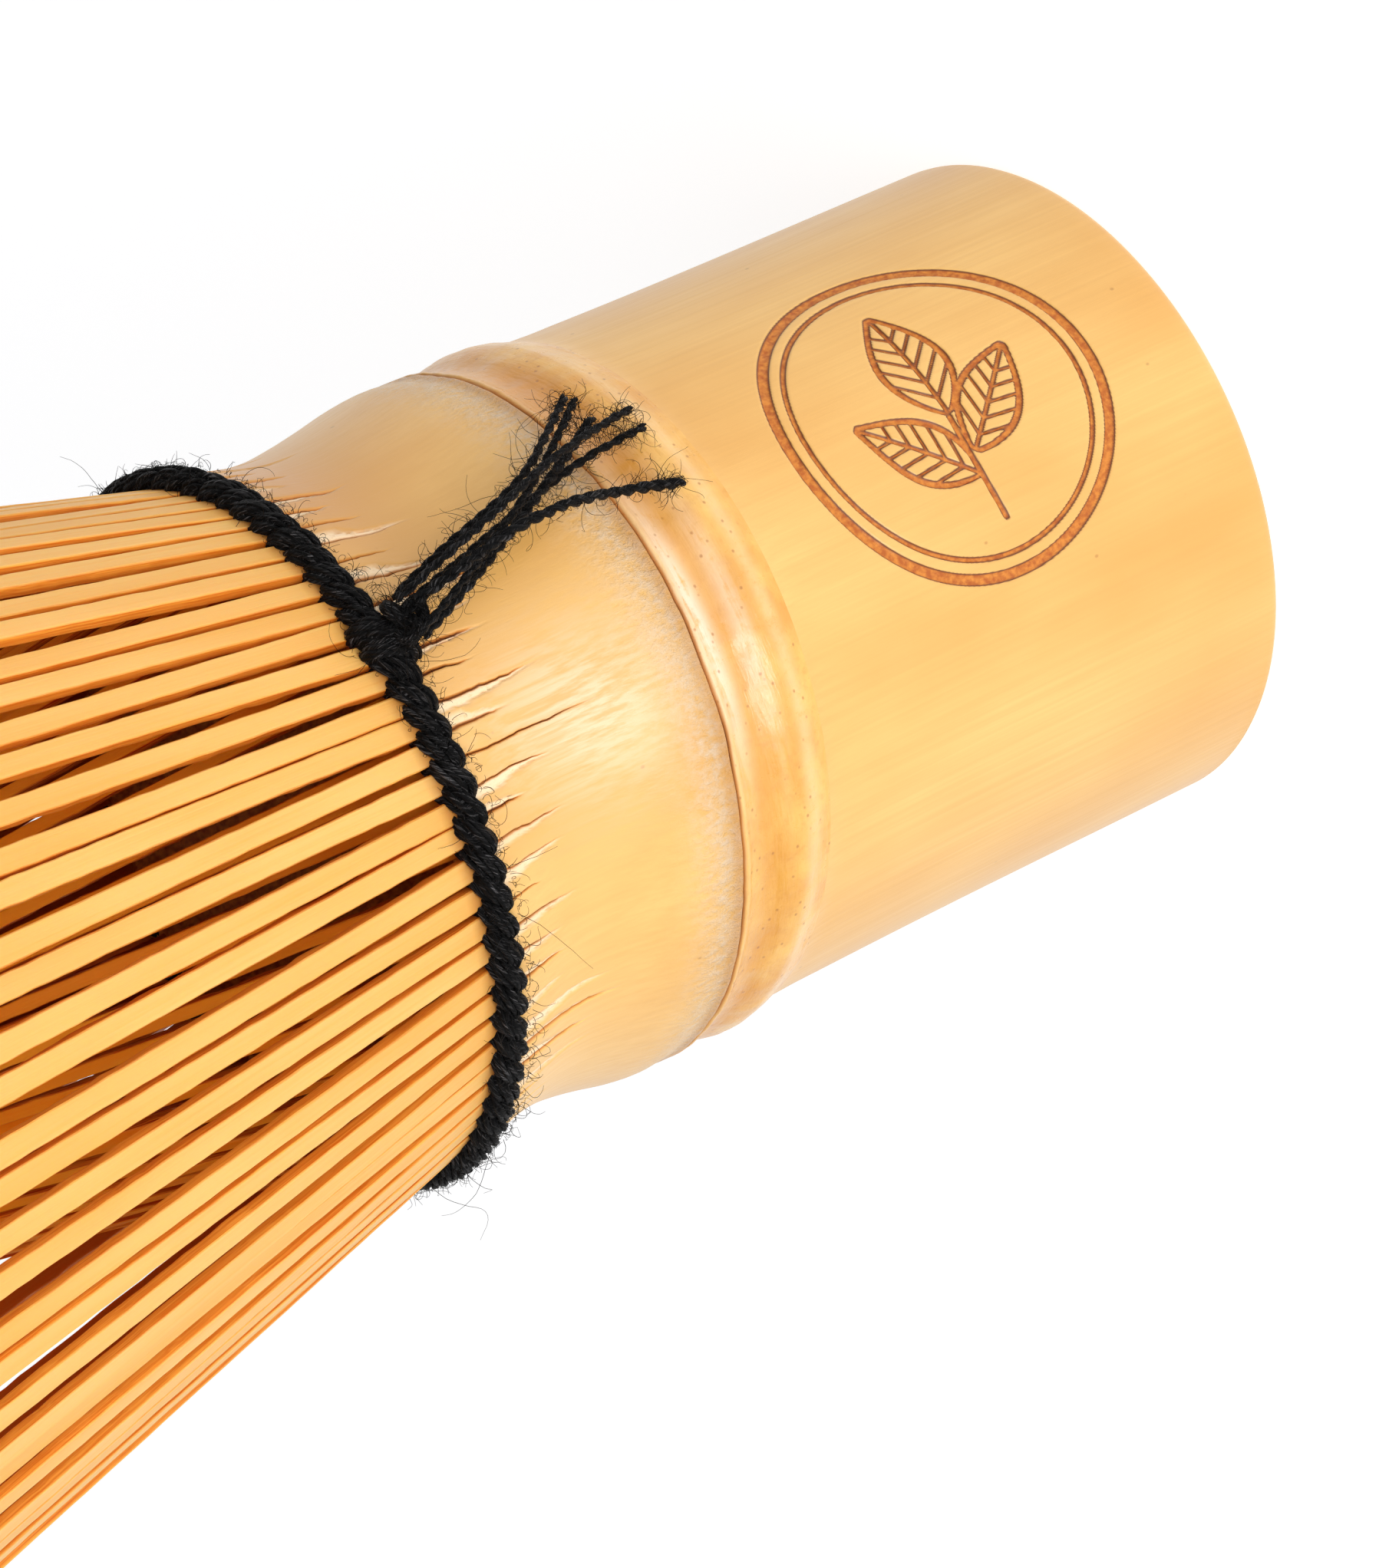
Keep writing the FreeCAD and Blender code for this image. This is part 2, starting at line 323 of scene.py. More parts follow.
def bamboo_skin():
    """Handle and neck: waxed golden skin with fine fibres, engraved lines and pale splits."""
    t = Nodes("bamboo_skin")
    grain = t.attribute("grain")
    fibres = t.noise(t.scaled(grain, (5.0, 5.0, 1.6)), 4.0, 0.6)
    clouds = t.noise(t.scaled(grain, (0.16, 0.16, 1.6)), 3.0, 0.5)
    base = t.mix(t.ramp(clouds, (0.30, 0.0), (0.70, 1.0)),
                 colour(231, 173, 90), colour(245, 196, 115))
    base = t.mix(t.ramp(fibres, (0.35, 0.0), (0.68, 0.30)), base, colour(222, 164, 86))
    dots = t.cells(t.scaled(grain, (0.55, 0.55, 8.0)))
    base = t.mix(t.ramp(dots, (0.02, 0.5), (0.045, 0.0)), base, colour(170, 114, 56))
    mottle = t.noise(t.scaled(grain, (3.6, 3.6, 44.0)), 5.0, 0.7)
    grey = t.math("MULTIPLY", t.attribute("grey"), t.ramp(mottle, (0.36, 0.0), (0.66, 1.0)))
    base = t.mix(grey, base, colour(230, 204, 172))
    # Painted shade: a darker orange-brown laid on the neck's upper side near the thread and in a
    # band just above the scar.
    tan = t.mix(fibres, colour(192, 126, 52), colour(210, 148, 70))
    base = t.mix(t.attribute("tan"), base, tan)
    # Painted highlight: a pale streaky patch on the front of the neck's waist.
    bleach = t.math("MULTIPLY", t.attribute("bleach"), t.ramp(fibres, (0.36, 0.25), (0.60, 1.0)))
    base = t.mix(bleach, base, colour(255, 238, 204))
    torn = t.noise(t.scaled(grain, (9.0, 9.0, 60.0)), 3.0, 0.7)
    ragged = t.math("MULTIPLY", t.attribute("pale"), t.ramp(torn, (0.28, 0.35), (0.48, 1.0)))
    base = t.mix(ragged, base, colour(252, 222, 180))
    # The engraved mark's burnt colour. The same colour darkens the neck's bore to reddish-brown as
    # painted shade.
    burn = t.attribute("burn")
    scorch = t.noise(t.scaled(grain, (4.5, 4.5, 80.0)))
    burnt = t.mix(t.ramp(scorch, (0.35, 0.0), (0.65, 1.0)),
                  colour(182, 92, 20), colour(220, 136, 46))
    burnt = t.mix(t.ramp(burn, (0.45, 1.0), (0.95, 0.0)), burnt, colour(98, 44, 12))
    base = t.mix(t.ramp(burn, (0.10, 0.0), (0.40, 1.0)), base, burnt)
    stain = t.attribute("stain")
    base = t.mix(t.ramp(stain, (0.04, 0.0), (0.35, 0.9)), base, colour(206, 132, 58))
    base = t.mix(t.ramp(stain, (0.40, 0.0), (0.90, 1.0)), base, colour(110, 56, 22))
    pores = t.cells(t.scaled(grain, (2.6, 2.6, 0.2)))
    flesh = t.mix(t.ramp(pores, (0.12, 1.0), (0.36, 0.0)),
                  colour(238, 208, 158), colour(160, 108, 60))
    base = t.mix(t.attribute("flesh"), base, flesh)
    pits = t.noise(t.scaled(grain, (14.0, 14.0, 5.0)), 2.0)
    bump = t.bump(fibres, 0.012)
    bump = t.bump(pits, 0.005, bump)
    bump = t.bump(t.math("MULTIPLY", mottle, t.attribute("grey")), 0.22, bump)
    rough_map = t.math("ADD", t.math("MULTIPLY", fibres, 0.16), 0.28)
    rough_map = t.math("ADD", rough_map, t.math("MULTIPLY", burn, 0.35))
    return t.finish(Base_Color=base, Roughness=rough_map, Normal=bump, Coat_Weight=0.12,
                    Coat_Roughness=0.22)


def bamboo_node():
    """The swollen node: amber and waxy, wrinkled round the culm, with a pale ridge. Its upper side
    is darkened with amber as painted shade.
    """
    t = Nodes("bamboo_node")
    grain = t.attribute("grain")
    wax = t.noise(t.scaled(grain, (0.5, 0.5, 14.0)), 4.0, 0.6)
    fine = t.noise(t.scaled(grain, (2.6, 2.6, 40.0)), 5.0, 0.65)
    wrinkles = t.noise(t.scaled(grain, (0.45, 0.45, 60.0)), 3.0, 0.6)
    base = t.mix(t.ramp(wax, (0.34, 0.0), (0.66, 1.0)), colour(228, 162, 68), colour(244, 190, 98))
    base = t.mix(t.ramp(fine, (0.52, 0.0), (0.74, 0.5)), base, colour(212, 142, 56))
    # The amber valley's own colour, with the same amber laid on the node's upper side as painted
    # shade.
    base = t.mix(t.attribute("amber"), base, colour(216, 146, 54))
    crackle = t.math("MULTIPLY", t.attribute("crackle"), t.ramp(
        t.math("ADD", wrinkles, t.math("MULTIPLY", fine, 0.5)), (0.46, 0.0), (0.74, 1.0)))
    base = t.mix(crackle, base, colour(255, 232, 204))
    pale = t.math("MULTIPLY", t.attribute("pale"), t.ramp(fine, (0.30, 0.55), (0.55, 1.0)))
    base = t.mix(pale, base, colour(248, 208, 150))
    specks = t.cells(t.scaled(grain, (1.9, 1.9, 42.0)))
    base = t.mix(t.ramp(specks, (0.06, 0.6), (0.16, 0.0)), base, colour(164, 100, 44))
    stain = t.attribute("stain")
    base = t.mix(t.ramp(stain, (0.05, 0.0), (0.40, 0.8)), base, colour(196, 122, 56))
    base = t.mix(t.ramp(stain, (0.45, 0.0), (0.90, 1.0)), base, colour(140, 84, 40))
    bump = t.bump(wax, 0.07)
    bump = t.bump(wrinkles, 0.05, bump)
    bump = t.bump(fine, 0.015, bump)
    return t.finish(Base_Color=base, Roughness=t.math("ADD", t.math("MULTIPLY", fine, 0.2), 0.2),
                    Normal=bump, Coat_Weight=0.16, Coat_Roughness=0.2)


def bamboo_tine(name, skin, skin_dark, side, side_dark, back, gloss):
    """A tine: skin on its outer face, open fibres on its sides and pith on its back. The back's
    reddish colour is partly painted shade of the gaps between the tines.
    """
    t = Nodes(name)
    grain = t.attribute("grain")
    fibres = t.noise(t.scaled(grain, (7.0, 7.0, 2.2)), 4.0, 0.6)
    strands = t.noise(t.scaled(grain, (16.0, 16.0, 4.0)), 3.0, 0.6)
    tint = t.noise(t.scaled(grain, (0.3, 0.3, 0.9)), 2.0)
    face = t.mix(t.ramp(tint, (0.35, 0.0), (0.65, 1.0)), skin_dark, skin)
    face = t.mix(t.ramp(fibres, (0.45, 0.0), (0.75, 0.35)), face, side)
    open_wood = t.mix(t.ramp(strands, (0.38, 0.0), (0.64, 1.0)), side_dark, side)
    base = t.mix(t.attribute("skin"), open_wood, face)
    base = t.mix(t.attribute("back"), base, t.mix(strands, back, side_dark))
    # Painted shade: a darker orange-brown band on each tine just above the thread.
    base = t.mix(t.ramp(t.attribute("stain"), (0.0, 0.0), (0.8, 0.95)), base, colour(186, 88, 20))
    bump = t.bump(fibres, 0.012)
    bump = t.bump(strands, 0.012, bump)
    return t.finish(Base_Color=base, Roughness=t.math("ADD", t.math("MULTIPLY", fibres, 0.2), 0.38),
                    Normal=bump, Specular_IOR_Level=gloss, Subsurface_Weight=0.35,
                    Subsurface_Radius=(1.0, 0.45, 0.12), Subsurface_Scale=0.0006)


def cotton_thread(name, light, gloss):
    """Matte black cotton with its fine fibres. Its sparse lighter strands are painted glints."""
    t = Nodes(name)
    grain = t.attribute("grain")
    fibres = t.noise(t.scaled(grain, (3.0, 9.0, 1.0)), 3.0, 0.7)
    ply = t.add("TexWhiteNoise", {"Vector": t.scaled(grain, (0.0, 0.0, 1.0))}).outputs["Value"]
    # Painted glints: sparse lighter strands laid into the base colour.
    shine = t.math("MULTIPLY", t.ramp(fibres, (0.54, 0.0), (0.68, 1.0)),
                   t.ramp(ply, (0.1, 0.25), (1.0, 1.0)))
    base = t.mix(shine, (0.001, 0.001, 0.0012), (light, light * 0.95, light * 0.97))
    return t.finish(Base_Color=base, Roughness=0.5, Normal=t.bump(fibres, 0.13),
                    Specular_IOR_Level=gloss, Sheen_Weight=0.015, Sheen_Roughness=0.4)


def plain_floor():
    """A pale floor: a grey that takes a soft shadow, lifted by a glow to near white."""
    t = Nodes("plain_floor")
    diffuse = t.add("BsdfDiffuse", {"Color": (0.44, 0.45, 0.47, 1.0)})
    glow = t.add("Emission", {"Color": (1.0, 1.0, 1.0, 1.0), "Strength": 0.79})
    both = t.add("AddShader", {0: diffuse.outputs[0], 1: glow.outputs[0]})
    t.add("OutputMaterial", {"Surface": both.outputs[0]})
    return t.material


# =====================================================================================
# culm: handle, node and neck
# =====================================================================================

# Height and radius along the outside of the culm.
OUTLINE = ((0.0, 12.5), (17.5, 12.5), (19.3, 12.53), (20.6, 12.63), (21.4, 12.86), (22.0, 12.95),
           (22.6, 12.86), (23.4, 12.64), (24.1, 12.71), (24.7, 12.87), (25.2, 12.84), (26.0, 12.9),
           (26.9, 12.82), (28.2, 12.58), (29.6, 12.36), (31.0, 12.24), (32.3, 12.33),
           (33.3, 12.55), (34.2, 12.78), (35.4, 13.02))
CULM_TOP = 35.5            # hidden under the thread


def culm_shift(angle, z):
    """How far the node's lines run up or down round the culm, which never grows quite square."""
    ridge = 0.35 + 0.7 * np.cos(np.radians(angle + 110.0))
    scar = 0.25 + 0.5 * np.cos(np.radians(angle + 100.0))
    wave = 0.05 * rough(around(angle, 0.0, 2.6), 3.0) + 0.03 * rough(around(angle, 0.0, 9.0), 4.0)
    at_ridge = smooth(13.0, RIDGE_Z, z) * (1.0 - smooth(RIDGE_Z, SCAR_Z, z))
    at_scar = smooth(RIDGE_Z, SCAR_Z, z) * (1.0 - smooth(SCAR_Z, 32.0, z))
    return at_ridge * ridge + at_scar * (scar + wave * 1.6)


def culm_skin(angle, z):
    """Points on the outside of the culm at an angle and a nominal height."""
    angle, z = np.broadcast_arrays(angle, z)
    r = curve_through(OUTLINE, z)
    a = np.radians(angle)
    r = r + 0.035 * np.sin(2 * a + 0.6) + 0.02 * np.sin(3 * a + 2.0)
    height = z + culm_shift(angle, z)
    there = around(angle, height, HANDLE_R)
    node = smooth(RIDGE_Z - 0.4, RIDGE_Z + 0.5, z) * (1.0 - smooth(SCAR_Z + 0.3, SCAR_Z + 1.6, z))
    r = r + node * (0.055 * rough(there * (0.55, 0.55, 0.9), 5.0)
                    + 0.03 * rough(there * (1.7, 1.7, 1.1), 6.0))
    from_scar = z - SCAR_Z
    lip = 0.5 + 0.5 * rough(around(angle, 0.0, 3.1), 7.0)
    r = r - 0.13 * bell(from_scar, 0.06) + 0.10 * lip * bell(from_scar + 0.2, 0.12)
    r = r + 0.02 * bell(from_scar - 0.25, 0.15)
    return angle, height, r


def culm_grain(angle, z, r):
    """Fibre coordinates of the culm: across the fibres in mm, along them squeezed."""
    return around(angle, z * 0.05, r)


def wall_of(outer_rows, inner_rows):
    """Joins outer and inner rows of (angle, z, r) into one closed wall."""
    rows = np.array([np.stack(np.broadcast_arrays(*row), -1) for row in outer_rows + inner_rows])
    return rows[..., 0], rows[..., 1], rows[..., 2]


MARK_RINGS = ((6.45, 0.19), (5.75, 0.08))       # radius and half the width of the line
MARK_LEAVES = (((0.0, -0.4), (0.0, 4.5), 1.35),  # foot, tip and half the width of each leaf
               ((0.1, -2.0), (3.7, 1.3), 1.15),
               ((-0.1, -2.8), (-3.7, 0.5), 1.15))


def engraving(u, v):
    """Depth, 0 to 1, of a plain round mark: two rings and a sprig of three tea leaves.

    u runs towards the handle's end and v towards growing angle, in mm from the middle."""
    depth = np.zeros_like(u)

    def line(distance, half, inside=1.0):
        nonlocal depth
        cut = 1.0 - smooth(half - 0.05, half + 0.06, np.abs(distance))
        depth = np.maximum(depth, inside * cut)

    rho = np.hypot(u, v)
    for radius, half in MARK_RINGS:
        line(rho - radius, half)
    for base, tip, half_width in MARK_LEAVES:
        base, tip = np.array(base), np.array(tip)
        axis = tip - base
        length = np.hypot(*axis)
        axis = axis / length
        s = ((u - base[0]) * axis[0] + (v - base[1]) * axis[1]) / length
        q = np.abs(-(u - base[0]) * axis[1] + (v - base[1]) * axis[0])
        swell = half_width * np.sin(math.pi * np.clip(s, 0.0, 1.0) ** 0.85)
        within = smooth(-0.01, 0.02, s) * (1.0 - smooth(0.98, 1.01, s))
        line(q - swell, 0.12, within)
        line(q, 0.07, within)
        leaf = within * (q < swell)
        for k in range(1, 6):
            line((s * length - k * length / 7) * 0.75 - q * 0.66, 0.045, leaf)
    stem = 1.0 - smooth(-0.5, -0.3, v)
    line(u - 0.12 * np.sin(v * 0.8), 0.1, stem * smooth(-4.7, -4.5, v))
    return depth


MARK_ANGLE = 18.5          # angle and height of the mark's middle
MARK_Z = 11.0
MARK_REACH = 6.95          # half the width of the finely divided patch
MARK_STEP = 0.07           # and the mesh spacing in it
MARK_DEPTH = 0.11


def make_handle(material):
    """Plain stretch of culm with the engraved mark, its cut end and its hollow."""
    half = math.degrees(MARK_REACH / HANDLE_R)
    steps = int(2 * MARK_REACH / MARK_STEP)
    patch = np.linspace(MARK_ANGLE - half, MARK_ANGLE + half, steps + 1)
    rest = np.linspace(patch[-1], patch[0] + 360.0, 150)[1:-1]
    angle = np.concatenate([patch, rest])
    z = np.concatenate([np.linspace(0.5, MARK_Z - MARK_REACH, 8)[:-1],
                        np.linspace(MARK_Z - MARK_REACH, MARK_Z + MARK_REACH, steps + 1),
                        np.linspace(MARK_Z + MARK_REACH, RIDGE_Z, 14)[1:]])
    rim = [(angle, 0.5 - 0.5 * math.sin(a), HANDLE_R - 0.5 + 0.5 * math.cos(a))
           for a in np.radians((80, 60, 40, 20))]
    outer = rim + [culm_skin(angle, np.full_like(angle, h)) for h in z]
    inner = [(angle, RIDGE_Z + culm_shift(angle, RIDGE_Z), r) for r in (10.0, HOLLOW_R)]
    inner += [(angle, h, HOLLOW_R + 0.03 * np.sin(np.radians(angle * 5) + h))
              for h in (16.0, 10.0, 5.0, 1.5, 0.35)]
    inner += [(angle, 0.1, HOLLOW_R + 0.15), (angle, 0.0, HOLLOW_R + 0.4)]
    inner += [(angle, 0.0, r) for r in (8.5, 10.0, 11.2, HANDLE_R - 0.52)]
    angle, z, r = wall_of(outer, inner)
    u = MARK_Z - z
    v = np.radians(angle - MARK_ANGLE) * HANDLE_R
    on_skin = (np.arange(len(z)) < len(outer))[:, None]
    burn = engraving(u, v) * on_skin
    r = r - MARK_DEPTH * burn * (0.85 + 0.3 * rough(np.stack([u, v, 0 * u], -1) * 3.0, 1.0))
    shape = Shape()
    rows, cols = z.shape
    end_face = (z < 0.02) | ~on_skin
    shape.add(around(angle, z, r), [grid(rows, cols, True, True)],
              grain=culm_grain(angle, z, r).reshape(-1, 3), burn=burn.ravel(),
              flesh=end_face.astype(float).ravel(), pale=0.0, grey=0.0, stain=0.0, tan=0.0,
              bleach=0.0)
    return shape.piece("handle", material, "root", ["culm_handle"], sharp=50)


def scar_stain(angle, z):
    """The dark line in the sheath scar, broken here and there."""
    patchy = 0.72 + 0.5 * rough(around(angle, 0.0, 6.0), 8.0)
    return np.clip(bell(z - SCAR_Z, 0.055) * patchy, 0.0, 1.0)


NEAR_SCAR = np.array([0.0, 0.03, 0.06, 0.1, 0.14, 0.19, 0.25, 0.32])   # closer rows by the scar


def make_node(material):
    """The swollen ring between the handle and the sheath scar."""
    angle = np.arange(0.0, 360.0, 0.6)
    z = np.concatenate([np.linspace(RIDGE_Z, SCAR_Z - 0.6, 28)[:-1],
                        SCAR_Z - np.array([0.6, 0.5, 0.4]), SCAR_Z - NEAR_SCAR[::-1]])
    outer = [culm_skin(angle, np.full_like(angle, h)) for h in z]
    inner = [(angle, SCAR_Z + culm_shift(angle, SCAR_Z), r) for r in (10.0, UPPER_HOLLOW_R)]
    inner += [(angle, h, UPPER_HOLLOW_R) for h in (DIAPHRAGM_TOP_Z, SHOULDER_Z)]
    at_ridge = culm_shift(angle, RIDGE_Z)
    inner += [(angle, SHOULDER_Z, HOLLOW_R), (angle, RIDGE_Z + at_ridge * 0.3, HOLLOW_R)]
    inner += [(angle, RIDGE_Z + at_ridge, 10.0)]
    angle, height, r = wall_of(outer, inner)
    nominal = np.concatenate([z, np.zeros(len(inner))])[:, None] + 0.0 * angle
    pale = 0.6 * bell(nominal - 21.6, 0.34) + 0.4 * bell(nominal - 24.62, 0.12)
    # Amber: the valley below the scar in its own colour, plus painted shade on the upper side,
    # about 44 degrees round from the front.
    amber = (0.75 * bell(turned(angle) - 44.0, 24.0) * smooth(22.2, 23.0, nominal)
             + 0.45 * bell(nominal - 23.4, 0.7))
    crackle = (0.9 * bell(turned(angle) - 2.0, 21.0)
               * (bell(nominal - 24.2, 0.5) + 0.5 * bell(nominal - 22.75, 0.4)))
    shape = Shape()
    shape.add(around(angle, height, r), [grid(*height.shape, True, True)],
              grain=culm_grain(angle, height, r).reshape(-1, 3), pale=pale.ravel(),
              amber=amber.ravel(), crackle=crackle.ravel(),
              stain=scar_stain(angle, nominal).ravel())
    return shape.piece("node_ridge", material, "root", ["node_ring"], sharp=60)


# Columns of the neck's mesh for each slit between two tines, in degrees from the slit.
LANES = np.array([-2.0, -1.6, -1.25, -0.95, -0.7, -0.5, -0.34, -0.2, -0.1, 0.0, 0.1, 0.2, 0.34,
                  0.5, 0.7, 0.95, 1.25, 1.6])
NECK_FINE_Z = 29.8         # rows are closer from here up


def make_neck(material):
    """Culm above the node, waisted. Fine cracks run down it from the slits between the tines,
    and beside some of them a sliver of skin has torn off."""
    gaps = FIRST_ANGLE + (np.arange(TINES) + 0.5) * PITCH
    lane = np.tile(LANES, TINES)
    which = np.repeat(np.arange(TINES), len(LANES))
    crack_low = CULM_TOP - 1.9 - rng.gamma(2.2, 0.8, TINES).clip(0.4, 4.6)
    crack_half = rng.uniform(0.15, 0.32, TINES) * (1.0 + 0.7 * bell(turned(gaps) - 60.0, 38.0))
    crack_dark = rng.uniform(0.65, 1.0, TINES)
    strip_side = rng.choice([-1.0, 1.0], TINES)
    strip = (rng.random(TINES) < 0.7) * rng.uniform(0.7, 1.0, TINES)
    strip_wide = rng.uniform(1.2, 2.4, TINES)
    z = np.concatenate([SCAR_Z + NEAR_SCAR, SCAR_Z + np.array([0.42, 0.6]),
                        np.linspace(SCAR_Z + 0.6, NECK_FINE_Z, 13)[1:],
                        np.linspace(NECK_FINE_Z, CULM_TOP, 33)[1:]])
    outer, cracks, slivers = [], [], []
    for h in z:
        place = np.stack([which * 3.1, 0.0 * which, np.full(len(which), h)], -1)
        wander = (0.4 * rough(place * (1.0, 1.0, 0.8), 9.0)
                  + 0.2 * rough(place * (1.0, 1.0, 3.2), 10.0))
        angle = gaps[which] + lane + wander * smooth(28.0, 32.0, h)
        opened = smooth(-0.15, 1.0, (h - crack_low[which]) / (CULM_TOP - crack_low[which]))
        line = smooth(0.0, 0.3, opened)
        crack = line * bell(lane, crack_half[which] * (0.35 + 0.8 * opened))
        ragged = 1.0 + 0.3 * rough(place * (1.0, 1.0, 2.0), 12.0)
        edge = 0.12 + strip_wide[which] * opened * ragged
        beside = lane * strip_side[which]
        sliver = (strip[which] * smooth(0.0, 0.2, opened) * smooth(0.02, 0.14, beside)
                  * (1.0 - smooth(0.0, 0.16, beside - edge)))
        crack = np.maximum(crack, 0.35 * strip[which] * line * bell(beside - edge, 0.11))
        angle, height, r = culm_skin(angle, np.full_like(angle, h))
        r = r - 0.2 * crack - 0.07 * sliver - 0.35 * smooth(THREAD_LOW + 0.2, THREAD_LOW + 0.8, h)
        outer.append((angle, height, r))
        cracks.append(crack * crack_dark[which])
        slivers.append(sliver)
    base_angle = gaps[which] + lane
    at_scar = SCAR_Z + culm_shift(base_angle, SCAR_Z)
    inner = [(base_angle, CULM_TOP, 12.0), (base_angle, CULM_TOP, SPLIT_BORE_R),
             (base_angle, 33.6, SPLIT_BORE_R), (base_angle, 29.5, UPPER_HOLLOW_R),
             (base_angle, SCAR_Z + 0.6, UPPER_HOLLOW_R), (base_angle, at_scar, UPPER_HOLLOW_R),
             (base_angle, at_scar, 10.0)]
    none = [np.zeros(len(lane))] * len(inner)
    angle, height, r = wall_of(outer, inner)
    nominal = np.concatenate([z, np.zeros(len(inner))])[:, None] + 0.0 * angle
    stain = scar_stain(angle, nominal) + smooth(0.02, 0.95, np.array(cracks + none))
    inside = np.concatenate([np.zeros(len(z)), np.ones(len(inner))])[:, None] + 0.0 * angle
    # Painted shade: darker on the upper side near the thread, about 58 degrees round, and in a band
    # just above the scar.
    tan = (0.6 * bell(nominal - SCAR_Z - 0.15, 0.4)
           + 0.75 * bell(turned(angle) - 58.0, 36.0) * bell(nominal - 33.4, 3.4))
    # Painted highlight: a pale streaky patch on the front of the waist, on the outside only.
    bleach = 0.6 * bell(turned(angle) + 2.0, 13.0) * bell(nominal - 29.6, 3.4) * (1.0 - inside)
    shape = Shape()
    # Inside the neck the engraving's burnt colour is used as painted shade: a dark reddish-brown
    # bore.
    shape.add(around(angle, height, r), [grid(*height.shape, True, True)],
              grain=culm_grain(angle, height, r).reshape(-1, 3), burn=inside.ravel(), flesh=0.0,
              pale=np.array(slivers + none).ravel(), stain=np.clip(stain, 0.0, 1.0).ravel(),
              grey=(0.95 * bell(nominal - SCAR_Z - 0.4, 1.5)).ravel(), tan=tan.ravel(),
              bleach=bleach.ravel())
    return shape.piece("neck", material, "root", ["neck_collar"], sharp=60)


# =====================================================================================
# tines
# =====================================================================================

def bar_section(half_width, half_thick, bevel):
    """Eight corners of a bevelled strip for each ring: outer face first."""
    w, t, c = np.broadcast_arrays(half_width, half_thick, bevel)
    return np.stack([np.stack(p, -1) for p in
                     ((-w + c, t), (w - c, t), (w, t - c), (w, -t + c),
                      (w - c, -t), (-w + c, -t), (-w, -t + c), (-w, t - c))], 1)


SKIN_CORNERS = np.array([1.0, 1.0, 0.0, 0.0, 0.0, 0.0, 0.0, 0.0])
BACK_CORNERS = np.array([0.0, 0.0, 0.0, 0.6, 1.0, 1.0, 0.6, 0.0])


def ring_spacing(bend):
    """Close in a curl, wider in a straight stretch."""
    return 0.35 if abs(bend) > 40 else 0.62


def profile_path(turns):
    """Walks a path in the radial plane. Each stretch of turns gives its length, the degrees that
    it bends inward and the lean it starts at, or None to go on as the last one ended.

    Returns the distance outward and the height from the start, and the lean at each point."""
    r, z, lean = [0.0], [0.0], [turns[0][2]]
    for length, bend, start in turns:
        count = max(2, int(round(length / ring_spacing(bend))))
        lean_now = start if start is not None else lean[-1]
        for _ in range(count):
            lean_now -= bend / count
            mid = math.radians(lean_now + bend / count / 2)
            r.append(r[-1] + length / count * math.sin(mid))
            z.append(z[-1] + length / count * math.cos(mid))
            lean.append(lean_now)
    return np.array(r), np.array(z), np.radians(lean)


def add_tine(shape, angle, start_r, start_z, turns, width, thick, number, wander, nick):
    """One tine: a strip along its profile, with slightly uneven width and drift."""
    r, z, lean = profile_path(turns)
    length = np.concatenate([[0.0], np.cumsum(np.hypot(np.diff(r), np.diff(z)))])
    s = length / length[-1]
    out, side = outward(angle), sideways(angle)
    drift = wander[0] * length * smooth(0.0, 6.0, length) + wander[1] * np.sin(s * 5.0 + wander[2])
    centres = (np.outer(start_r + r, out) + np.outer(drift, side)
               + np.outer(start_z + z, (0.0, 0.0, 1.0)))
    up = np.outer(np.cos(lean), out) - np.outer(np.sin(lean), (0.0, 0.0, 1.0))
    across = np.broadcast_to(side, centres.shape)
    along = np.stack([np.full_like(length, number * 3.7), length * 0.9, 0.0 * length], -1)
    half_width = np.interp(s, *zip(*width)) / 2 * (1.0 + nick * rough(along * (1, 1.6, 1), 1.0))
    half_thick = np.interp(s, *zip(*thick)) / 2 * (1.0 + nick * rough(along, 2.0))
    bevel = np.minimum(half_width, half_thick) * 0.22
    section = bar_section(half_width, half_thick, bevel)
    for corners, seed in ((slice(3, 5), 3.0), (slice(5, 7), 4.0)):
        torn = (2.2 * nick * rough(along * (1, 1.9, 1), seed)
                + nick * rough(along * (1, 5.3, 1), seed))
        section[:, corners, 0] += (half_width * torn)[:, None]
    grain = np.concatenate([section, np.broadcast_to((length * 0.05 + number * 9.1)[:, None, None],
                                                     section.shape[:2] + (1,))], -1)
    # Painted shade along the top of the thread, where each tine comes out from under it.
    stain = 1.0 - smooth(TWINE_TOP - 0.4, TWINE_TOP + 0.05, centres[:, 2])
    shape.add_tube(centres, across, up, section, grain=grain.reshape(-1, 3),
                   skin=np.tile(SKIN_CORNERS, len(centres)),
                   back=np.tile(BACK_CORNERS, len(centres)), stain=np.repeat(stain, 8))


def tine_angle(number):
    """Angle of outer tine 0 to 79. Tines 0 to 4 are the first group, centred on FIRST_ANGLE."""
    return FIRST_ANGLE + (number - (PER_SPLIT - 1) / 2) * PITCH


# Width and thickness of a tine (mm) at fractions of its length from the root.
OUTER_WIDTH = ((0, 0.80), (0.08, 0.77), (0.35, 0.90), (0.55, 0.86), (0.8, 0.6), (1, 0.42))
OUTER_THICK = ((0, 0.5), (0.3, 0.42), (0.75, 0.32), (1, 0.2))
INNER_WIDTH = ((0, 0.5), (0.12, 0.44), (0.3, 0.52), (0.5, 0.5), (0.9, 0.4), (1, 0.28))
INNER_THICK = ((0, 0.42), (0.5, 0.3), (1, 0.18))
CURL_DROP = 5.7            # from the highest point of a curl down to where it starts


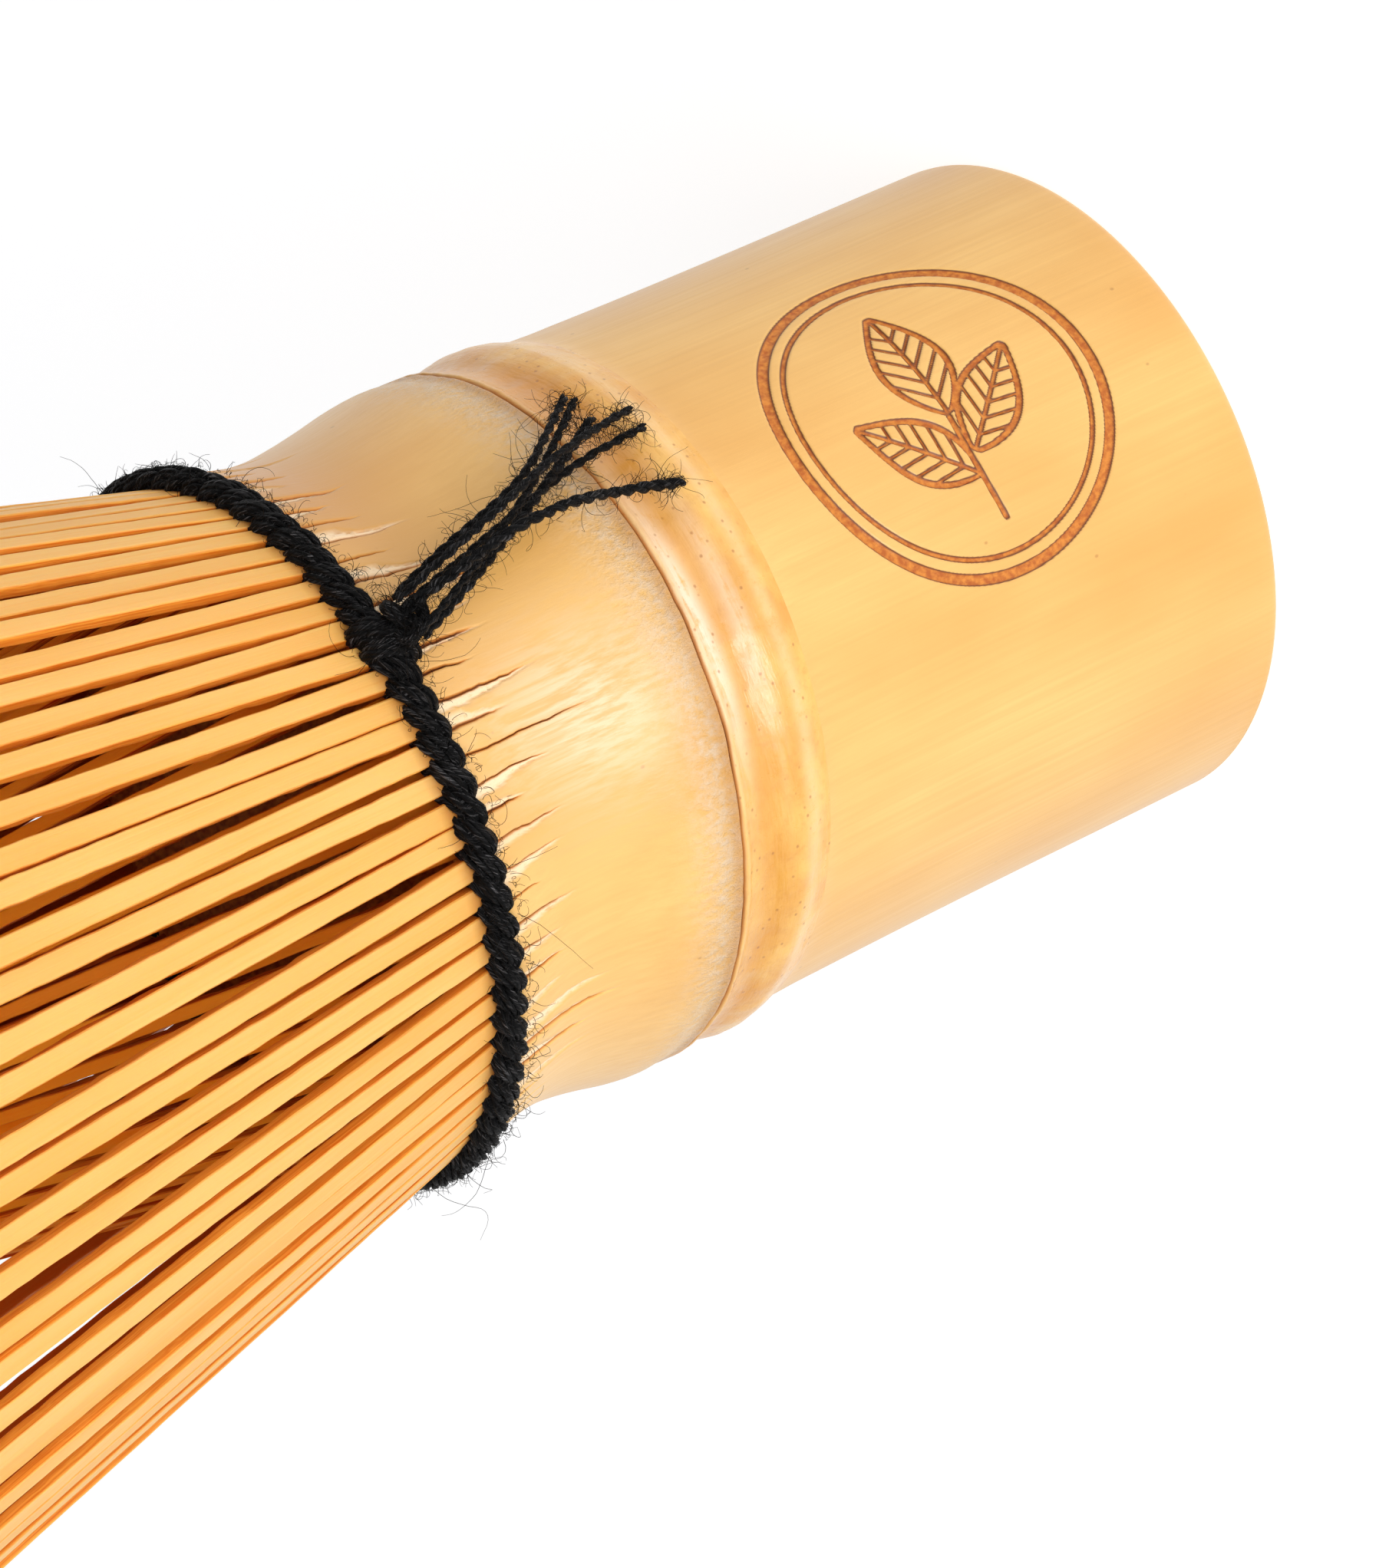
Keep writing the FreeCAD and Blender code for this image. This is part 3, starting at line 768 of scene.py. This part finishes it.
def make_outer_tines(material):
    """Sixteen groups of five flared, curled tines. Each bends out of the culm at its root."""
    start_z = THREAD_LOW + 0.25
    start_r = ROOT_R + (start_z - ROOT_Z) * math.tan(math.radians(LEAN))
    for split in range(SPLITS):
        shape = Shape()
        for k in range(PER_SPLIT):
            number = split * PER_SPLIT + k
            lean = LEAN + float(np.clip(rng.normal(0.0, 0.4), -0.8, 0.8))
            curl_r = 4.6 * rng.uniform(0.88, 1.06)
            turn = rng.uniform(135.0, 165.0)
            straight = (TINE_TOP_Z - CURL_DROP - start_z) / math.cos(math.radians(LEAN))
            bow = rng.uniform(-0.6, 0.8)
            turns = ((straight * 0.45, bow, lean + bow / 2), (straight * 0.55, bow * 0.4, None),
                     (curl_r * math.radians(turn), turn, None))
            wander = (math.radians(float(np.clip(rng.normal(0.0, 0.6), -0.45, 0.45))),
                      rng.uniform(0.0, 0.12), rng.uniform(0.0, 6.0))
            add_tine(shape, tine_angle(number) + rng.uniform(-0.3, 0.3), start_r, start_z, turns,
                     OUTER_WIDTH, OUTER_THICK, number, wander, 0.07)
        obj = shape.piece("outer_split_%02d" % (split + 1), material, None,
                          ["outer_tines_%02d" % (split + 1)], sharp=30)
        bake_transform(obj)


def make_inner_tines(material):
    """Sixteen groups of five thin tines that lean in to a bundle and curl at their tips."""
    start_z = THREAD_LOW - 0.3
    reach = GATHER_Z - ROOT_Z
    lean = math.degrees(math.atan2(INNER_ROOT_R - BUNDLE_R, reach))
    start_r = INNER_ROOT_R + (ROOT_Z - start_z) * math.tan(math.radians(lean)) * 0.5
    for split in range(SPLITS):
        shape = Shape()
        for k in range(PER_SPLIT):
            number = split * PER_SPLIT + k
            pull = rng.normal(0.0, 0.5)
            lean_in = -(lean + float(np.clip(pull, -0.9, 0.9)))
            turns = ((reach / math.cos(math.radians(lean)), 0.0, lean_in),
                     (10.0, lean_in + rng.uniform(-0.4, 0.4), None),
                     (INNER_TOP_Z - GATHER_Z - 10.0 - rng.uniform(0.0, 2.5), 0.3, None),
                     (2.6, rng.uniform(60.0, 110.0), None))
            wander = (math.radians(rng.uniform(-0.12, 0.12)), rng.uniform(0.0, 0.08),
                      rng.uniform(0.0, 6.0))
            add_tine(shape, tine_angle(number) + PITCH / 2 + rng.uniform(-0.6, 0.6), start_r,
                     start_z, turns, INNER_WIDTH, INNER_THICK, number + 500, wander, 0.14)
        shape.piece("inner_split_%02d" % (split + 1), material, "root",
                    ["inner_tines_%02d" % (split + 1)], sharp=30)


# =====================================================================================
# thread
# =====================================================================================

def nurbs_path(points, count):
    """Even points on the smooth line that a route's control points make."""
    curve = bpy.data.curves.new("route", "CURVE")
    curve.dimensions = "3D"
    curve.resolution_u = 24
    spline = curve.splines.new("NURBS")
    spline.points.add(len(points) - 1)
    for p, place in zip(spline.points, points):
        p.co = (*(place * MM), 1.0)
    spline.order_u = 3
    spline.use_endpoint_u = True
    holder = bpy.data.objects.new("route", curve)
    mesh = bpy.data.meshes.new_from_object(holder)
    line = np.array([v.co for v in mesh.vertices]) / MM
    bpy.data.meshes.remove(mesh)
    bpy.data.objects.remove(holder)
    bpy.data.curves.remove(curve)
    run = np.concatenate([[0.0], np.cumsum(np.linalg.norm(np.diff(line, axis=0), axis=1))])
    even = np.linspace(0.0, run[-1], count)
    return np.stack([np.interp(even, run, line[:, k]) for k in range(3)], -1)


def add_yarn(shape, path, radius, ply_radius, twist_length, hint, plies, sides=6, ends=True,
             phase=0.0):
    """A twisted yarn: plies laid round one another along a path."""
    side, up = frames_along(path, hint)
    run = np.concatenate([[0.0], np.cumsum(np.linalg.norm(np.diff(path, axis=0), axis=1))])
    taper = np.ones(len(path))
    if ends:
        taper = 0.3 + 0.7 * smooth(0.0, 0.12, run) * smooth(0.0, 0.12, run[-1] - run)

    def uneven(rate, seed):
        return rough(np.stack([run * rate, 0 * run + k * 5.0, 0 * run + phase], -1), seed)

    for k in range(plies):
        a = (run / twist_length * 2 * math.pi + k * 2 * math.pi / plies + phase
             + 0.7 * uneven(0.5, 2.0))
        off = (radius - ply_radius) * (1.0 + 0.22 * uneven(0.9, 3.0))
        centres = path + (side * np.cos(a)[:, None] + up * np.sin(a)[:, None]) * off[:, None]
        ply = ply_radius * taper * (1.0 + 0.14 * uneven(2.1, 1.0))
        section = circle(sides)[None] * ply[:, None, None]
        around_ply = np.arange(sides) / sides
        slant = run[:, None] * 1.6 + around_ply[None] * 1.0
        grain = np.stack([np.broadcast_to(run[:, None] * 0.35, slant.shape), slant,
                          np.full(slant.shape, k + phase)], -1)
        across, over = frames_along(centres, hint)
        shape.add_tube(centres, across, over, section, grain=grain.reshape(-1, 3))


HAIR_RADIUS = (0.012, 0.006)     # at its root and its tip


def add_hairs(shape, path, radius, count, reach, facing=None, steps=14):
    """Loose fibres standing off a yarn: thin curled hairs from random places on it."""
    side, up = frames_along(path, (0.13, 0.91, 0.37))
    for _ in range(count):
        k = int(rng.integers(1, len(path) - 1))
        a = rng.uniform(0, 2 * math.pi)
        direction = side[k] * math.cos(a) + up[k] * math.sin(a)
        if facing is not None and direction @ facing(path[k]) < -0.2:
            direction = -direction
        size = reach * rng.gamma(2.5, 0.3)
        heading = unit(direction + 0.8 * rng.normal(size=3))
        curl = unit(rng.normal(size=3)) * rng.uniform(1.5, 6.5) / steps
        line = [path[k] + direction * radius * 0.8]
        for _ in range(steps):
            heading = unit(heading + np.cross(curl, heading) + 0.08 * rng.normal(size=3))
            line.append(line[-1] + heading * size / steps)
        line = np.array(line)
        across, over = frames_along(line, (0.3, 0.5, 0.8))
        thin = np.linspace(*HAIR_RADIUS, len(line))[:, None, None]
        shape.add_tube(line, across, over, circle(3)[None] * thin, grain=np.full(3, 0.5))


def away_from_axis(point):
    return unit(np.array([point[0], point[1], 0.0]))


def twine_path(strand, per_pitch=10):
    """One of the two yarns: out over every second tine and in behind the others."""
    count = TINES * per_pitch
    k = np.arange(count + 1) / per_pitch
    angle = FIRST_ANGLE + k * PITCH
    phase = math.pi * (k + strand)
    loose = rough(np.stack([np.cos(np.radians(angle)), np.sin(np.radians(angle)),
                            0 * angle + strand], -1) * 6.0, 5.0)
    swing = np.cos(phase)
    r = TWINE_R + np.where(swing > 0, 0.30, -0.62) * np.abs(swing) ** 0.7
    z = TWINE_Z + TWINE_SWING * np.sin(phase) + 0.06 * loose
    return around(angle, z, r + 0.03 * loose)


# Loose fibres round the thread: height above its middle, how many and how far they reach.
FUZZ = ((-0.5, 800, 0.7), (0.0, 680, 0.55), (0.5, 520, 0.55), (-0.5, 130, 1.7))
NAP_COUNT = 2500           # short fibres on each of the two yarns


def make_twine(material, lint):
    """The two yarns twined round the roots of the outer tines, and their loose fibres."""
    for strand in (0, 1):
        shape = Shape()
        path = twine_path(strand)
        add_yarn(shape, path, YARN_RADIUS, 0.095, 5.2, (0.0, 0.0, 1.0), 12, sides=5, ends=False,
                 phase=strand * 1.3)
        add_yarn(shape, path, YARN_RADIUS * 0.72, 0.29, 5.2, (0.0, 0.0, 1.0), 1, ends=False)
        shape.piece("twined_thread_%d" % (strand + 1), material, "root",
                    ["thread_round_%d" % (strand + 1)], sharp=80)
    ring = around(np.linspace(0.0, 360.0, 721), TWINE_Z, TWINE_R + 0.3)
    hairs = Shape()
    for offset, count, reach in FUZZ:
        add_hairs(hairs, ring + (0.0, 0.0, offset), 0.35, count, reach, away_from_axis)
    hairs.piece("thread_fuzz", material, "root")
    nap = Shape()
    for strand in (0, 1):
        add_hairs(nap, twine_path(strand), 0.42, NAP_COUNT, 0.42, away_from_axis, steps=6)
    nap.piece("thread_nap", lint, "root")


# Loose ends: angle, height and radius of the points of each route, from the knot outward.
TAIL_ROUTES = (
    ((22.8, 34.7, 14.1), (25.1, 32.5, 14.8), (26.6, 30.3, 15.3), (28.9, 28.4, 15.4),
     (33.4, 26.6, 15.3), (38.8, 24.7, 15.0)),
    ((16.1, 34.9, 14.4), (18.8, 33.1, 14.8), (22.7, 30.9, 14.9), (27.4, 28.5, 14.9),
     (33.3, 26.1, 14.8), (39.8, 24.0, 14.4)),
    ((16.4, 34.4, 13.8), (19.2, 32.5, 14.1), (23.3, 30.2, 14.3), (28.0, 27.7, 14.3),
     (33.1, 25.3, 14.2), (37.1, 23.7, 13.9)),
    ((21.4, 34.9, 14.6), (23.1, 32.8, 15.4), (25.1, 30.3, 15.9), (28.5, 27.6, 15.8),
     (31.2, 25.0, 15.3), (33.8, 22.8, 14.6)),
    ((22.0, 34.2, 13.6), (24.2, 31.8, 13.8), (27.1, 29.4, 13.7), (30.0, 27.0, 13.7),
     (32.0, 24.5, 13.8), (33.0, 22.1, 13.6)),
    ((20.4, 34.3, 14.5), (21.2, 32.3, 15.3), (22.4, 30.0, 15.6), (23.1, 27.6, 15.3),
     (22.9, 25.1, 14.5), (21.5, 22.6, 13.9)),
)
TAIL_RADIUS = (0.16, 0.155, 0.19, 0.16, 0.16, 0.21)


def make_tails(material):
    """The six loose ends: two-ply yarns with stray fibres, more of them at the cut end."""
    for number, (route, radius) in enumerate(zip(TAIL_ROUTES, TAIL_RADIUS), 1):
        points = np.array([around(*place) for place in route])
        path = nurbs_path(points, 150)
        shape = Shape()
        add_yarn(shape, path, radius, radius * 0.56, 1.25, away_from_axis(points[0]), 2, sides=8,
                 phase=number * 0.9)
        add_hairs(shape, path, radius, 170, 1.1)
        add_hairs(shape, path[-22:], radius, 50, 0.9)
        shape.piece("tail_%d" % number, material, "root",
                    ["thread_tail_%d" % number], sharp=80)


def make_knot(material):
    """The knot: a yarn wrapped over the twined pair, crossed by an overhand lump."""
    shape = Shape()
    turns = np.linspace(-0.42, 2.55, 120)
    a = turns * 2 * math.pi
    swell = 1.0 + 0.12 * np.sin(turns * 9.0)
    wrap = around(17.2 + 1.9 * turns + 0.8 * np.sin(a), TWINE_Z - 0.1 + 0.7 * np.sin(a) * swell,
                  TWINE_R + 0.2 + 0.62 * np.cos(a) * swell)
    add_yarn(shape, wrap, 0.33, 0.1, 3.6, (0.0, 0.0, 1.0), 9, phase=0.4)
    add_yarn(shape, wrap, 0.23, 0.22, 3.6, (0.0, 0.0, 1.0), 1)
    middle = (19.5, 34.65, 13.95)
    centre, out, side = around(*middle), outward(middle[0]), sideways(middle[0])
    t = np.linspace(0.0, 2 * math.pi, 90)
    across = np.sin(t) + 1.6 * np.sin(2 * t)
    upward = np.cos(t) - 1.6 * np.cos(2 * t)
    lump = (centre + np.outer(across * 0.3, side) + np.outer(-np.sin(3 * t) * 0.24, out)
            + np.outer(upward * 0.26, (0.0, 0.0, 1.0)))
    add_yarn(shape, lump, 0.25, 0.1, 3.0, out, 6, phase=2.0)
    add_hairs(shape, wrap, 0.3, 160, 1.0, away_from_axis)
    add_hairs(shape, lump, 0.3, 160, 1.1, away_from_axis)
    shape.piece("knot", material, "root", ["thread_knot"], sharp=80)


# =====================================================================================
# floor, light and camera
# =====================================================================================

def area_light(name, place, target, size, power):
    """A soft square light (metres and watts) that faces its target."""
    light = bpy.data.lights.new(name, "AREA")
    light.shape = "SQUARE"
    light.size = size
    light.energy = power
    obj = bpy.data.objects.new(name, light)
    obj.location = place
    obj.rotation_euler = (Vector(target) - Vector(place)).to_track_quat("-Z", "Y").to_euler()
    bpy.context.scene.collection.objects.link(obj)


FLOOR_HALF = 6.0
WORLD_STRENGTH = 0.27
LIGHTS = (("key", (-0.09, -0.30, 0.022), 0.10, 0.38),       # name, place, size and power
          ("front", (-0.06, -0.42, 0.32), 0.34, 1.14),
          ("top", (-0.25, -0.10, 0.60), 0.40, 0.7))


def make_stage():
    """The floor, an even pale surround and three soft lights."""
    mesh = bpy.data.meshes.new("floor")
    corners = ((-1, -1), (1, -1), (1, 1), (-1, 1))
    mesh.from_pydata([(x * FLOOR_HALF, y * FLOOR_HALF, 0) for x, y in corners], [], [(0, 1, 2, 3)])
    mesh.materials.append(plain_floor())
    floor = bpy.data.objects.new("floor", mesh)
    bpy.context.scene.collection.objects.link(floor)
    world = bpy.data.worlds.new("studio")
    world.use_nodes = True
    background = world.node_tree.nodes["Background"]
    background.inputs["Color"].default_value = (1.0, 1.0, 1.0, 1.0)
    background.inputs["Strength"].default_value = WORLD_STRENGTH
    bpy.context.scene.world = world
    bpy.context.scene.view_settings.view_transform = "Standard"
    for name, place, size, power in LIGHTS:
        area_light(name, place, (0.0, 0.0, 0.035), size, power)


# Place in metres, angles in degrees, lens in millimetres for a 36 mm sensor.
CAMERA_PLACE = (0.0, -0.19343, 0.13411)
CAMERA_AZIMUTH = 1.323
CAMERA_HEIGHT = 30.600
CAMERA_ROLL = -115.315
CAMERA_LENS = 144.55


def make_camera():
    """The photograph's view: from the front and above, rolled so that the tines point down left."""
    data = bpy.data.cameras.new("camera")
    data.lens = CAMERA_LENS
    data.sensor_width = 36.0
    data.clip_start = 0.01
    data.clip_end = 20.0
    camera = bpy.data.objects.new("camera", data)
    camera.matrix_world = (Matrix.Translation(CAMERA_PLACE)
                           @ Matrix.Rotation(math.radians(CAMERA_AZIMUTH), 4, "Z")
                           @ Matrix.Rotation(math.radians(90.0 - CAMERA_HEIGHT), 4, "X")
                           @ Matrix.Rotation(math.radians(CAMERA_ROLL), 4, "Z"))
    bpy.context.scene.collection.objects.link(camera)
    bpy.context.scene.camera = camera


make_camera()
make_stage()
skin = bamboo_skin()
# Outer tines. Their backs' orange-tan, darker than pale pith, is partly painted shade of the gaps.
outer_wood = bamboo_tine("bamboo_outer_tine", colour(245, 189, 107), colour(237, 175, 88),
                         colour(242, 164, 60), colour(212, 112, 18), colour(212, 126, 48), 0.3)
# Inner tines: the same bamboo, coloured deeper and redder than the outer tines as painted shade of
# the dim gaps they sit in.
inner_wood = bamboo_tine("bamboo_inner_tine", colour(249, 156, 36), colour(234, 122, 12),
                         colour(244, 150, 46), colour(172, 52, 2), colour(190, 88, 18), 0.08)
# Thread and lint: the first number is the grey of the painted glints.
thread = cotton_thread("cotton_thread", 0.20, 0.12)
lint = cotton_thread("cotton_lint", 0.05, 0.35)
make_handle(skin)
make_node(bamboo_node())
make_neck(skin)
make_outer_tines(outer_wood)
make_inner_tines(inner_wood)
make_twine(thread, lint)
make_knot(thread)
make_tails(thread)
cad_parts["node_diaphragm"].data.materials.clear()
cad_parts["node_diaphragm"].data.materials.append(inner_wood)
